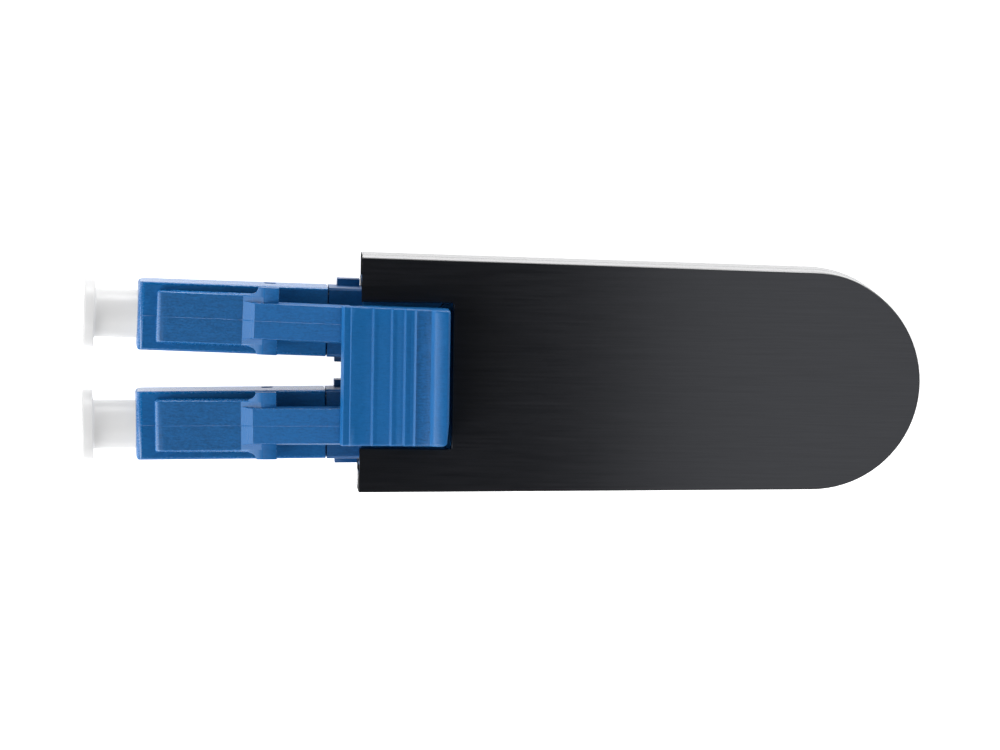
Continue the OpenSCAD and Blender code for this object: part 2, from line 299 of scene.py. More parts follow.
BOOT, nt, b = new_material("boot_rubber")
v = coords(nt)
nt.links.new(ramp(nt, noise_tex(nt, v, 900, 4), [(0.3, (0.50, 0.51, 0.53)), (0.7, (0.60, 0.61, 0.63))]), b.inputs["Base Color"])
nt.links.new(rough_ramp(nt, noise_tex(nt, v, 6000, 3), 0.62, 0.78), b.inputs["Roughness"])
bump(nt, b, noise_tex(nt, v, 6000, 4), 0.3, 0.00002)

FIBRE, nt, b = new_material("fibre_buffer")
v = coords(nt)
nt.links.new(ramp(nt, noise_tex(nt, v, 1200, 3), [(0.3, (0.66, 0.48, 0.035)), (0.7, (0.75, 0.57, 0.06))]), b.inputs["Base Color"])
nt.links.new(rough_ramp(nt, noise_tex(nt, v, 5000, 3), 0.34, 0.48), b.inputs["Roughness"])
bump(nt, b, noise_tex(nt, v, 5000, 3), 0.2, 0.00001)


# ---------------------------------------------------------------- mesh code
def to_object(bm, name, mats):
    me = bpy.data.meshes.new(name)
    bm.normal_update()
    bm.to_mesh(me)
    bm.free()
    ob = bpy.data.objects.new(name, me)
    scene.collection.objects.link(ob)
    for m in mats:
        me.materials.append(m)
    return ob


def apply_modifiers(ob):
    dg = bpy.context.evaluated_depsgraph_get()
    me = bpy.data.meshes.new_from_object(ob.evaluated_get(dg), depsgraph=dg)
    old = ob.data
    ob.modifiers.clear()
    ob.data = me
    me.name = old.name + "_made"
    bpy.data.meshes.remove(old)


def bevelled(ob, width, segments=2, angle=28, clamp=True, share=None, soft=None, edge_slot=-1):
    """Rounded edges with flat faces kept flat in shading; share(edge) is the part of the width an edge gets."""
    if share is not None:
        bm = bmesh.new()
        bm.from_mesh(ob.data)
        bm.normal_update()
        layer = bm.edges.layers.float.get("bevel_weight_edge") or bm.edges.layers.float.new("bevel_weight_edge")
        for e in bm.edges:
            sharp = len(e.link_faces) == 2 and math.degrees(e.calc_face_angle(0.0)) > angle
            e[layer] = share(e) if sharp else 0.0
        bm.to_mesh(ob.data)
        bm.free()
    md = ob.modifiers.new("edge", "BEVEL")
    md.width = width * MM
    md.segments = segments
    md.limit_method = "ANGLE" if share is None else "WEIGHT"
    md.angle_limit = math.radians(angle)
    md.use_clamp_overlap = clamp
    md.miter_outer = "MITER_ARC"
    md.harden_normals = False
    # the bevel faces go to the slot edge_slot; the callers give it the lighter blue copy, a painted highlight on the
    # rounded edges
    md.material = edge_slot
    apply_modifiers(ob)
    return crisp(ob, soft=soft)


def crisp(ob, small=0.02, flat=9, edge=44, soft=None, facets=-1):
    """Sharp shading between large flat faces, smooth shading over narrow rounded edges and where soft(edge) says so.
    Faces of the material slot named by facets stay flat."""
    bm = bmesh.new()
    bm.from_mesh(ob.data)
    bm.normal_update()
    for f in bm.faces:
        f.smooth = f.material_index != facets
    for e in bm.edges:
        e.smooth = True
        if len(e.link_faces) == 2:
            a = math.degrees(e.calc_face_angle(0.0))
            area = min(f.calc_area() for f in e.link_faces) / MM / MM
            if (a > edge or (a > flat and area > small)) and not (soft and soft(e)):
                e.smooth = False
    bm.to_mesh(ob.data)
    bm.free()
    wn = ob.modifiers.new("normals", "WEIGHTED_NORMAL")
    wn.weight = 70
    wn.keep_sharp = True
    apply_modifiers(ob)
    return ob


def cad_copy(name, new, mats, dissolve=True):
    """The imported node's shape as an editable mesh of clean faces."""
    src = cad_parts[name]
    bm = bmesh.new()
    bm.from_mesh(src.data)
    bm.transform(src.matrix_world)
    bmesh.ops.remove_doubles(bm, verts=bm.verts, dist=2e-7)
    if dissolve:
        bmesh.ops.dissolve_limit(bm, angle_limit=math.radians(0.6), verts=bm.verts, edges=bm.edges,
                                 use_dissolve_boundaries=False)
    for f in bm.faces:
        f.material_index = 0
    ob = to_object(bm, new, mats)
    return ob


def prism(points, y0, y1, matrix):
    """Solid from a side view (station, height) between two widths."""
    bm = bmesh.new()
    a = [bm.verts.new((p[0], y0, p[1])) for p in points]
    c = [bm.verts.new((p[0], y1, p[1])) for p in points]
    n = len(points)
    bm.faces.new(a)
    bm.faces.new(c[::-1])
    for i in range(n):
        bm.faces.new((a[i], c[i], c[(i + 1) % n], a[(i + 1) % n]))
    bmesh.ops.recalc_face_normals(bm, faces=bm.faces)
    bm.transform(matrix)
    return bm


def drafted(points, widths, matrix):
    """Solid from a side view whose half width is given point by point, so that its sides lean in."""
    bm = bmesh.new()
    a = [bm.verts.new((p[0], -w, p[1])) for p, w in zip(points, widths)]
    c = [bm.verts.new((p[0], w, p[1])) for p, w in zip(points, widths)]
    n = len(points)
    bm.faces.new(a)
    bm.faces.new(c[::-1])
    for i in range(n):
        bm.faces.new((a[i], c[i], c[(i + 1) % n], a[(i + 1) % n]))
    bmesh.ops.connect_verts_nonplanar(bm, angle_limit=math.radians(0.5), faces=bm.faces)
    bmesh.ops.recalc_face_normals(bm, faces=bm.faces)
    bm.transform(matrix)
    return bm


def loft(rows, matrix):
    """Solid through cross-sections (station, [(width, height), ...]) that all have the same number of points."""
    bm = bmesh.new()
    grid = [[bm.verts.new((s_, y, z)) for y, z in outline] for s_, outline in rows]
    n = len(grid[0])
    for a, c in zip(grid, grid[1:]):
        for i in range(n):
            k = (i + 1) % n
            bm.faces.new((a[i], a[k], c[k], c[i]))
    bm.faces.new(grid[0][::-1])
    bm.faces.new(grid[-1])
    bmesh.ops.recalc_face_normals(bm, faces=bm.faces)
    bm.transform(matrix)
    return bm


def frontal(points, s0, s1, matrix):
    """Solid from a front view (width, height) between two stations."""
    bm = bmesh.new()
    a = [bm.verts.new((s0, p[0], p[1])) for p in points]
    c = [bm.verts.new((s1, p[0], p[1])) for p in points]
    n = len(points)
    bm.faces.new(a)
    bm.faces.new(c[::-1])
    for i in range(n):
        bm.faces.new((a[i], c[i], c[(i + 1) % n], a[(i + 1) % n]))
    bmesh.ops.recalc_face_normals(bm, faces=bm.faces)
    bm.transform(matrix)
    return bm


def plan(points, z0, z1, matrix):
    """Solid from a plan (station, width) between two heights."""
    bm = bmesh.new()
    a = [bm.verts.new((p[0], p[1], z0)) for p in points]
    c = [bm.verts.new((p[0], p[1], z1)) for p in points]
    n = len(points)
    bm.faces.new(a)
    bm.faces.new(c[::-1])
    for i in range(n):
        bm.faces.new((a[i], c[i], c[(i + 1) % n], a[(i + 1) % n]))
    bmesh.ops.recalc_face_normals(bm, faces=bm.faces)
    bm.transform(matrix)
    return bm


def block(s0, s1, y0, y1, z0, z1, matrix):
    return plan([(s0, y0), (s1, y0), (s1, y1), (s0, y1)], z0, z1, matrix)


def rod(s0, s1, r0, r1, seg, matrix, y=0.0, z=0.0):
    """Round bar along the station axis."""
    bm = bmesh.new()
    rings = []
    for s, r in ((s0, r0), (s1, r1)):
        rings.append([bm.verts.new((s, y + r * math.cos(2 * math.pi * i / seg), z + r * math.sin(2 * math.pi * i / seg)))
                      for i in range(seg)])
    bm.faces.new(rings[0])
    bm.faces.new(rings[1][::-1])
    for i in range(seg):
        j = (i + 1) % seg
        bm.faces.new((rings[0][i], rings[1][i], rings[1][j], rings[0][j]))
    bmesh.ops.recalc_face_normals(bm, faces=bm.faces)
    bm.transform(matrix)
    return bm


def combine(base, tools, op, name, mats):
    """Exact boolean of a base mesh with a list of tool meshes."""
    ob = base if isinstance(base, bpy.types.Object) else to_object(base, name, mats)
    for t in tools:
        tool = to_object(t, "tool", [])
        md = ob.modifiers.new("cut", "BOOLEAN")
        md.object = tool
        md.operation = op
        md.solver = "EXACT"
        apply_modifiers(ob)
        bpy.data.objects.remove(tool)
    ob.data.materials.clear()
    for m in mats:
        ob.data.materials.append(m)
    ob.name = name
    return ob


def tidy(ob, angle=0.6, merge=4e-6):
    bm = bmesh.new()
    bm.from_mesh(ob.data)
    bmesh.ops.remove_doubles(bm, verts=bm.verts, dist=merge)
    bmesh.ops.dissolve_limit(bm, angle_limit=math.radians(angle), verts=bm.verts, edges=bm.edges)
    bmesh.ops.recalc_face_normals(bm, faces=bm.faces)
    bm.to_mesh(ob.data)
    bm.free()
    return ob


def join(objs, name):
    bm = bmesh.new()
    for o in objs:
        bm.from_mesh(o.data)
    keep = objs[0]
    bm.to_mesh(keep.data)
    bm.free()
    for o in objs[1:]:
        bpy.data.objects.remove(o)
    keep.name = name
    return keep


def ridge(path, half, high, matrix, sink=0.02):
    """Thin moulding line: a low triangular bead along a path of (station, y, height)."""
    bm = bmesh.new()
    rows = []
    for s, y, z in path:
        rows.append([bm.verts.new((s, y - half, z - sink)), bm.verts.new((s, y, z + high)), bm.verts.new((s, y + half, z - sink))])
    for a, c in zip(rows, rows[1:]):
        for i in range(3):
            j = (i + 1) % 3
            bm.faces.new((a[i], a[j], c[j], c[i]))
    bm.faces.new(rows[0][::-1])
    bm.faces.new(rows[-1])
    bmesh.ops.recalc_face_normals(bm, faces=bm.faces)
    bm.transform(matrix)
    return bm


def lathe(profile, seg, matrix):
    """Closed profile of (station, radius) turned about the station axis."""
    bm = bmesh.new()
    rings = []
    for i in range(seg):
        a = 2 * math.pi * i / seg
        rings.append([bm.verts.new((s, r * math.cos(a), r * math.sin(a))) for s, r in profile])
    n = len(profile)
    for i in range(seg):
        p, q = rings[i], rings[(i + 1) % seg]
        for j in range(n):
            k = (j + 1) % n
            bm.faces.new((p[j], q[j], q[k], p[k]))
    bmesh.ops.remove_doubles(bm, verts=bm.verts, dist=1e-6)
    bmesh.ops.recalc_face_normals(bm, faces=bm.faces)
    bm.transform(matrix)
    return bm


def arc(cx, cy, r, a0, a1, n):
    return [(cx + r * math.cos(math.radians(a0 + (a1 - a0) * i / n)), cy + r * math.sin(math.radians(a0 + (a1 - a0) * i / n)))
            for i in range(n + 1)]


# ---------------------------------------------------------------- camera
F = 15862.0
D = 1.030
T = Vector((0.000032, -0.000097, 0.004))
zc = Vector((-0.0337, 0.0548, 1.0)).normalized()
P = T + zc * (D / zc.z)
xc = Vector((1, 0, 0))
xc = (xc - zc * xc.dot(zc)).normalized()
yc = zc.cross(xc)
roll = 0.0131
xr = xc * math.cos(roll) + yc * math.sin(roll)
yr = -xc * math.sin(roll) + yc * math.cos(roll)
R = Matrix((xr, yr, zc)).transposed().to_4x4()
cam = bpy.data.cameras.new("camera")
co = bpy.data.objects.new("camera", cam)
scene.collection.objects.link(co)
co.matrix_world = Matrix.Translation(P) @ R
cam.sensor_width = 36
cam.lens = F * 36 / 1000
cam.clip_start = 0.01
cam.clip_end = 10
scene.camera = co
scene.view_settings.view_transform = "Standard"

# ---------------------------------------------------------------- housing
def cut_front(ob, deep=0.10, pitch=0.16, rough=0.030):
    """The sawn front: a narrow strip of small facets that wander in and out."""
    x = (X0 + HOUSING_FRONT) * MM
    bm = bmesh.new()
    bm.from_mesh(ob.data)
    bmesh.ops.bisect_plane(bm, geom=bm.verts[:] + bm.edges[:] + bm.faces[:], dist=1e-7,
                           plane_co=(x + deep * MM, 0, 0), plane_no=(1, 0, 0))
    def front(v):
        return abs(v.co.x - x) < 0.02 * MM
    for e in [e for e in bm.edges if front(e.verts[0]) and front(e.verts[1]) and e.calc_length() > pitch * 1.5 * MM]:
        n = int(e.calc_length() / (pitch * MM))
        bmesh.ops.subdivide_edges(bm, edges=[e], cuts=n)
    for v in bm.verts:
        if front(v):
            p = v.co / MM
            k = noise.noise(Vector((p.y * 2.3, p.z * 2.3, 5.1))) + 0.7 * noise.noise(Vector((p.y * 6.1, p.z * 6.1, 1.7)))
            # the cut is a little out of square: its foot lies further back on the +Y side
            lean = 0.27 * max(0.0, min(1.0, (p.y + 7.6) / 15.2)) * (1.0 - p.z / 8.0)
            v.co.x += rough * MM * k + lean * MM
    for f in bm.faces:
        if f.normal.x < -0.6 and f.calc_center_median().x < x + 0.06 * MM:
            f.material_index = 1
            f.smooth = False
    bmesh.ops.triangulate(bm, faces=[f for f in bm.faces if len(f.verts) > 4])
    bm.to_mesh(ob.data)
    bm.free()
    if "custom_normal" in ob.data.attributes:
        ob.data.attributes.remove(ob.data.attributes["custom_normal"])
    return crisp(ob, facets=1)


def not_front(e):
    return 0.0 if all(abs(v.co.x / MM - X0 - HOUSING_FRONT) < 0.02 for v in e.verts) else 1.0


top = cad_copy("top_shell", "housing_top", [SHELL_TOP, CUT])
bevelled(top, 0.10, 3, share=not_front)
cut_front(top)
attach(top, "housing")
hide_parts("top_shell")

low = cad_copy("bottom_shell", "housing_base", [SHELL_LOW, CUT])
bevelled(low, 0.07, 2, share=not_front)
cut_front(low)
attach(low, "housing")
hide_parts("bottom_shell")

clip = cad_copy("duplex_clip", "duplex_frame", [BLUE_TRIGGER])
bevelled(clip, 0.08, 2)
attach(clip, "housing")
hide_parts("duplex_clip")

# ---------------------------------------------------------------- trigger
STEP = 0.24
Z = [5.62, 5.86, 6.10, 6.34, 6.53]


def trigger():
    """Stepped, coved grip with rounded side edges, cored out from below."""
    topline = [(13.19, 4.93), (13.20, 5.06), (13.33, 5.44), (13.38, 5.50), (13.75, 5.50), (13.765, 5.52), (13.81, 5.60), (13.84, 5.62),
               (14.2, 5.612), (14.7, 5.608)]
    for i, (s0, s1) in enumerate(((15.19, 15.26), (16.40, 16.47), (17.25, 17.32), (17.93, 18.00))):
        a, c = Z[i] + 0.02, Z[i + 1]
        topline += [(s0 - 0.26, a - 0.012), (s0 - 0.10, a - 0.003), (s0 - 0.03, a - 0.0005), (s0 + 0.005, a + 0.02), (s1 - 0.005, c - 0.02), (s1 + 0.03, c)]
        if i < 3:
            topline += [(s1 + 0.08, c - 0.002), (s1 + 0.24, c - 0.026), (s1 + 0.36, c - 0.032)]
    # the hollow rises slowly, then steeply, and rolls over into the bar's top
    topline += [(18.10, 6.515), (18.18, 6.500), (18.26, 6.494), (18.50, 6.510), (18.70, 6.535), (18.85, 6.562), (18.97, 6.592),
                (19.05, 6.722), (19.13, 6.852), (19.20, 6.957), (19.26, 7.006), (19.31, 7.036), (19.36, 7.061),
                (19.42, 7.086), (19.50, 7.118), (19.60, 7.148), (19.72, 7.174), (19.85, 7.192), (19.96, 7.20)]
    topline += [(20.03, 7.20), (20.10, 7.185), (20.15, 7.15), (20.18, 7.09), (20.19, 7.02)]
    r = 0.19
    steps = [0.0, 0.012, 0.038, 0.075, 0.125, 0.19]

    def half(s):
        return 4.55 - 0.15 * (s - 13.06) / 7.13

    rows = []
    fr = [-(1 - d / 4.5) for d in steps] + [-0.66, -0.33, 0.0, 0.33, 0.66] + [(1 - d / 4.5) for d in steps[::-1]]
    dips = [r - math.sqrt(max(0.0, r * r - (r - d) ** 2)) for d in steps] + [0.0] * 5 + \
           [r - math.sqrt(max(0.0, r * r - (r - d) ** 2)) for d in steps[::-1]]
    bm = bmesh.new()
    grid = []
    for f, dip in zip(fr, dips):
        row = []
        for s_, z_ in topline:
            y = f * half(s_)
            corner = 0.5 if f < 0 else 0.16
            inner = abs(y) - (half(s_) - corner)
            lim = 20.19 - corner + math.sqrt(max(0.0, corner ** 2 - inner ** 2)) if inner > 0 else 20.19
            front = 13.19 + (0.12 - math.sqrt(max(0.0, 0.12 ** 2 - max(0.0, abs(y) - (half(s_) - 0.12)) ** 2)))
            row.append(bm.verts.new((max(min(s_, lim), front), y, z_ - dip)))
        grid.append(row)
    for a, c in zip(grid, grid[1:]):
        for i in range(len(a) - 1):
            bm.faces.new((a[i], a[i + 1], c[i + 1], c[i]))
    # skirt: down to the underside of the moulding
    def under(s_):
        if s_ < 14.60:
            return 4.93
        if s_ < 14.62:
            return 3.85
        return 3.85 - 0.43 * (s_ - 14.60) / 4.7 if s_ < 19.30 else 3.42 - 0.17 * min(1.0, (s_ - 19.30) / 0.05)
    cols = [13.06, 14.60, 14.605, 19.30, 19.35, 20.19]
    lower = []
    for f in (fr[0], fr[-1]):
        lower.append([(max(v.co.x, 13.06), v.co.y) for v in (grid[0] if f < 0 else grid[-1])])
    base = {}
    def bottom(v):
        key = (round(v.co.x, 4), round(v.co.y, 4))
        if key not in base:
            z_ = under(v.co.x)
            if v.co.z - z_ < 0.005:
                z_ = v.co.z - 0.005
            base[key] = bm.verts.new((v.co.x, v.co.y, z_))
        return base[key]
    loop = [grid[0][i] for i in range(len(topline))] + [row[-1] for row in grid[1:]] + \
           [grid[-1][i] for i in range(len(topline) - 2, -1, -1)] + [row[0] for row in grid[-2:0:-1]]
    low = [bottom(v) for v in loop]
    n = len(loop)
    for i in range(n):
        k = (i + 1) % n
        vs = []
        for v in (loop[i], loop[k], low[k], low[i]):
            if v not in vs:
                vs.append(v)
        if len(vs) > 2:
            try:
                bm.faces.new(vs)
            except ValueError:
                pass
    bmesh.ops.remove_doubles(bm, verts=bm.verts, dist=0.004)
    edges = [e for e in bm.edges if e.is_boundary]
    bmesh.ops.triangle_fill(bm, use_beauty=True, use_dissolve=False, edges=edges)
    bmesh.ops.recalc_face_normals(bm, faces=bm.faces)
    bm.transform(STATIONS)
    ob = to_object(bm, "release_trigger", [BLUE_TRIGGER])
    cuts = []
    for y0, y1 in ((0.45, 3.75), (-3.75, -0.45)):
        cuts.append(prism([(15.1, 3), (15.1, 4.75), (17.3, 5.2), (18.2, 5.5), (19.1, 5.7), (19.1, 3)], y0, y1, STATIONS))
    combine(ob, cuts, "DIFFERENCE", "release_trigger", [BLUE_TRIGGER])
    knuckle = bmesh.new()
    ring = [(0.4 * math.cos(2 * math.pi * i / 40), 0.4 * math.sin(2 * math.pi * i / 40)) for i in range(40)]
    a = [knuckle.verts.new((19.75 + c, -3, 3.25 + d)) for c, d in ring]
    b_ = [knuckle.verts.new((19.75 + c, 3, 3.25 + d)) for c, d in ring]
    knuckle.faces.new(a)
    knuckle.faces.new(b_[::-1])
    for i in range(40):
        k = (i + 1) % 40
        knuckle.faces.new((a[i], b_[i], b_[k], a[k]))
    bmesh.ops.recalc_face_normals(knuckle, faces=knuckle.faces)
    knuckle.transform(STATIONS)
    combine(ob, [knuckle], "UNION", "release_trigger", [BLUE_TRIGGER])
    crisp(ob, small=0.08, flat=26, edge=38)
    # the hollow before the bar is grained
    ob.data.materials.append(BLUE_ARM)
    for f in ob.data.polygons:
        s_ = f.center.x / MM - X0
        if f.normal.z > 0.6 and 18.02 < s_ < 18.96 and f.center.z / MM - AXIS_Z > 6.3:
            f.material_index = 1
    return ob


grip = trigger()
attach(grip, "trigger")
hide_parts("trigger")

# ---------------------------------------------------------------- plugs
PW = 2.25
ROOT = [(1.23, 2.05), (1.23, 2.25), (1.69, 2.75), (2.0, 2.80)]


def plug_body(k, m):
    M = place(m)
    nose_curve = [(0.42, PW), (0.30, PW - 0.045), (0.19, PW - 0.12), (0.10, PW - 0.23), (0.035, PW - 0.38), (0.0, PW - 0.58)]
    side = prism([(0, -PW + 0.4), (0.4, -PW), (12.32, -PW), (12.32, PW)] + nose_curve, -3, 3, M)
    nose = plan([(0, -PW + 0.28)] + arc(0.28, -PW + 0.28, 0.28, 180, 270, 4)[1:] + [(12.32, -PW), (12.32, PW)]
                + arc(0.28, PW - 0.28, 0.28, 90, 180, 4), -3, 3, M)
    corner = arc(2.225 - 0.17, PW - 0.17, 0.17, 0, 90, 5)
    lean = frontal([(-2.25, -3), (2.25, -3), (2.25, -1.9)] + corner + [(-y, z) for y, z in corner[::-1]] + [(-2.25, -1.9)], -1, 13, M)
    ob = combine(side, [nose, lean], "INTERSECT", f"plug_shell_{k}", [BLUE])
    cuts = [rod(-1, 3.2, 1.66, 1.66, 64, M), rod(3, 4, 1.0, 1.0, 48, M), rod(3.75, 13, 1.62, 1.62, 64, M),
            block(11.1, 13, -1.82, 1.82, -1.82, 1.82, M)]
    # small pockets in the side walls below the shoulders of the latch
    for sgn in (-1, 1):
        cuts.append(block(8.25, 8.95, min(sgn * 2.10, sgn * 2.4), max(sgn * 2.10, sgn * 2.4), -1.9, -0.6, M))
    combine(ob, cuts, "DIFFERENCE", f"plug_shell_{k}", [BLUE, BLUE_EDGE_LIT, BLUE_WALL])
    tidy(ob)
    inv = M.inverted()

    def share(e):
        """The rounded top keeps its shape; the other edges are eased."""
        a, c = (inv @ v.co for v in e.verts)
        return 0.0 if min(a.z, c.z) > 1.6 and max(a.x, c.x) < 12.2 else 1.0

    def soft(e):
        a, c = (inv @ v.co for v in e.verts)
        return min(a.z, c.z) > 1.6 and max(a.x, c.x) < 12.2

    bevelled(ob, 0.07, 2, angle=26, clamp=False, share=share, soft=soft)
    inv_turn = inv.to_3x3()
    # faces tilted up and to the sides or the front take the lighter blue copy, a painted highlight on the rounded edges
    # and the nose; the side walls take the glossier wall blue
    for f in ob.data.polygons:
        n = (inv_turn @ f.normal).normalized()
        c = inv @ f.center
        if n.z > 0.12 and (abs(n.y) > 0.12 or n.x < -0.12):
            f.material_index = 1
        elif abs(n.y) > 0.9 and abs(c.y) > 2.1:
            f.material_index = 2
    line = to_object(ridge([(0.06, 0, PW - 0.30), (0.19, 0, PW - 0.12), (0.30, 0, PW - 0.045), (0.42, 0, PW), (1.3, 0, PW)], 0.045, 0.026, M), "line", [BLUE])
    ob = join([ob, crisp(line)], f"plug_shell_{k}")
    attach(ob, f"plug_{k}")
    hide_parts(f"plug_body_{k}")
    return ob


def latch(k, m):
    M = place(m)
    # the arm: leaning sides, rounded edges, and a front that rounds over into the top
    inv = M.inverted()
    top_at = [(1.23, 2.555), (1.245, 2.60), (1.275, 2.64), (1.33, 2.677), (1.40, 2.711), (1.48, 2.740), (1.58, 2.765), (1.72, 2.786),
              (1.90, 2.806), (2.2, 2.838), (2.6, 2.880), (6.8, 3.315), (7.4, 3.378), (8.2, 3.46)]
    low_at = [2.12] * 10 + [2.38, 2.80, 2.95, 3.25]
    rows = []
    for (s_, z), lo in zip(top_at, low_at):
        half = 1.66 - 0.02 * (s_ - 1.23) / 7.0
        d = s_ - 1.23
        if d < 0.12:
            half -= 0.12 - math.sqrt(max(0.0, 0.12 ** 2 - (0.12 - d) ** 2))
        r = 0.11
        corner = arc(half - r, z - r, r, 6, 90, 4)
        rows.append((s_, [(half + 0.09, lo)] + corner + [(-y, h) for y, h in corner[::-1]] + [(-half - 0.09, lo)]))
    arm = to_object(loft(rows, M), "arm", [BLUE_ARM, BLUE_EDGE_LIT])
    turn = inv.to_3x3()
    # the rounded front and long edges of the arm take the lighter blue copy, a painted highlight
    for f in arm.data.polygons:
        n = (turn @ f.normal).normalized()
        if n.z > 0.06 and (abs(n.y) > 0.12 or n.x < -0.30):
            f.material_index = 1

    def ramp_edge(e):
        """Edges of the rounded front and of the rounded long sides of the arm."""
        a, c = (inv @ v.co for v in e.verts)
        if max(a.x, c.x) < 2.12 and min(a.z, c.z) > 2.56:
            return True
        z = 2.806 + 0.1036 * (min(a.x, c.x) - 1.9)
        return max(a.x, c.x) < 6.7 and min(abs(a.y), abs(c.y)) > 1.50 and min(a.z, c.z) > z - 0.13

    crisp(arm, soft=ramp_edge)
    # the flare rises from the arm's top to the shoulders
    wedge_side = [(6.66, 3.25, 1.648), (8.2, 3.96, 1.64), (8.2, 3.30, 1.69), (6.80, 3.16, 1.68)]
    wedge = to_object(drafted([p[:2] for p in wedge_side], [p[2] for p in wedge_side], M), "wedge", [BLUE, BLUE_EDGE_LIT])
    # its rounded edges take the lighter blue copy, a painted highlight, as do the shoulders' and the tail's
    bevelled(wedge, 0.13, 3, angle=40, edge_slot=1)
    # shoulders, with round hollows where the arm widens
    flare = [(7.28, 1.70), (7.34, 1.745)] + arc(7.34, 2.175, 0.43, -90, 0, 7)[1:] + [(9.1, 2.175)]
    outline = flare + [(x, -y) for x, y in flare[::-1]]
    sh = plan(outline, 3.02, 3.97, M)
    under = prism([(7.2, 3.02), (7.2, 3.49), (8.2, 3.96), (9.1, 3.96), (9.1, 3.10), (7.9, 3.10)], -3, 3, M)
    sh = combine(sh, [under], "INTERSECT", "shoulders", [BLUE, BLUE_EDGE_LIT])
    tidy(sh)
    bevelled(sh, 0.12, 3, angle=30, edge_slot=1)
    # the tail over the shoulders, its sides leaning in
    tail_top = [(6.82, 3.32, 1.25), (7.55, 4.05, 1.14), (13.0, 4.85, 1.12), (13.45, 4.85, 1.12), (13.68, 4.76, 1.12)]
    tail_low = [(13.78, 4.55, 1.17), (13.78, 4.30, 1.22), (13.68, 4.10, 1.25), (13.45, 4.02, 1.25), (8.6, 3.28, 1.25), (7.2, 3.1, 1.25), (6.9, 3.3, 1.25)]
    pts = tail_top + tail_low
    tail = to_object(drafted([p[:2] for p in pts], [p[2] for p in pts], M), "tail", [BLUE, BLUE_EDGE_LIT])
    bevelled(tail, 0.14, 3, angle=30, edge_slot=1)
    # moulding line along the middle
    path = [(1.25, 0, 2.58), (1.33, 0, 2.677), (1.48, 0, 2.74), (1.72, 0, 2.786), (2.0, 0, 2.817), (6.81, 0, 3.316), (7.55, 0, 4.05), (13.0, 0, 4.85), (13.40, 0, 4.85)]
    fine = []
    for a, c in zip(path, path[1:]):
        n = max(1, int((c[0] - a[0]) / 0.4))
        fine += [tuple(a[i] + (c[i] - a[i]) * t / n for i in range(3)) for t in range(n)]
    fine.append(path[-1])
    line = to_object(ridge(fine, 0.045, 0.024, M), "line", [BLUE])
    for part in (wedge, sh, tail, line):
        for f in part.data.polygons:
            if f.material_index == 0:
                f.material_index = 2
    ob = join([arm, wedge, sh, tail, crisp(line)], f"latch_{k}")
    ob.data.materials.append(BLUE)
    # more rings across the root of the arm
    bm = bmesh.new()
    bm.from_mesh(ob.data)
    x_axis = (M.to_3x3() @ Vector((1, 0, 0))).normalized()
    for s_ in (1.7, 2.0, 2.3, 2.6, 2.9, 3.2, 3.5, 3.8, 4.1):
        bmesh.ops.bisect_plane(bm, geom=bm.verts[:] + bm.edges[:] + bm.faces[:], dist=1e-8,
                               plane_co=M @ Vector((s_, 0, 0)), plane_no=x_axis)
    bm.to_mesh(ob.data)
    bm.free()
    crisp(ob, soft=ramp_edge)
    # the flare and the front of the tail are polished and painted a little lighter, a painted highlight on faces turned
    # to the light; the rest is grained
    ob.data.materials.append(BLUE_SMOOTH_LIT)
    turn = inv.to_3x3()
    for f in ob.data.polygons:
        c = inv @ f.center
        n = (turn @ f.normal).normalized()
        if 6.76 < c.x < 9.12 and n.z > 0.5 and (n.x < -0.22 or (abs(c.y) > 1.26 and c.z > 3.85)):
            f.material_index = 3
    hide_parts(f"latch_arm_{k}")
    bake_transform(ob)
    return ob


def rear(k, m):
    ob = cad_copy(f"rear_body_{k}", f"rear_shell_{k}", [BLUE_REAR_SHADED])
    inv = place(m).inverted()

    corner = arc(2.25 - 0.17, 2.25 - 0.17, 0.17, 0, 90, 5)
    outline = [(-3, -3), (3, -3), (3, -0.5), (2.25, -0.5)] + corner + [(-y, z) for y, z in corner[::-1]] + [(-2.25, -0.5), (-3, -0.5)]
    combine(ob, [frontal(outline, 10, 22, place(m))], "INTERSECT", f"rear_shell_{k}", [BLUE_REAR_SHADED])
    tidy(ob)

    def along(e):
        a, c = (inv @ v.co for v in e.verts)
        return min(a.z, c.z) > 2.0 and min(abs(a.y), abs(c.y)) > 1.9

    bevelled(ob, 0.07, 2, share=lambda e: 0.0 if along(e) else 1.0, soft=along)
    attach(ob, f"plug_{k}")
    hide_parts(f"rear_body_{k}")
    return ob


def cap(k, m):
    M = place(m)
    f0, f1, fr, tr = -3.48, -2.77, 2.31, 1.59
    outer = arc(f0 + 0.10, fr - 0.10, 0.10, 180, 90, 4) + arc(f1 - 0.10, fr - 0.10, 0.10, 90, 0, 4) + \
        arc(f1 + 0.14, tr + 0.14, 0.14, 180, 270, 5) + [(-1.0, tr), (0.6, tr - 0.01)] + arc(1.30, tr - 0.11, 0.10, 90, 0, 3)
    inner = [(1.4, 0.92), (1.1, 0.66), (-1.2, 0.645), (-2.25, 0.645), (-2.3, 0.60), (-2.3, 0.0)]
    face = [(f0, 0.0), (f0 + 0.02, 0.45), (f0 + 0.03, 1.3), (f0 + 0.01, 1.9)]
    ob = to_object(lathe(face + outer + inner, 72, M), f"cap_{k}", [CAP, CAP_FACE_LESS_GLOW])
    crisp(ob, small=0.3, flat=30, edge=50)
    # front faces take the copy with less painted glow
    for f in ob.data.polygons:
        if f.normal.x < -0.8:
            f.material_index = 1
    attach(ob, f"cap_{k}")
    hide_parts(f"dust_cap_{k}")
    return ob


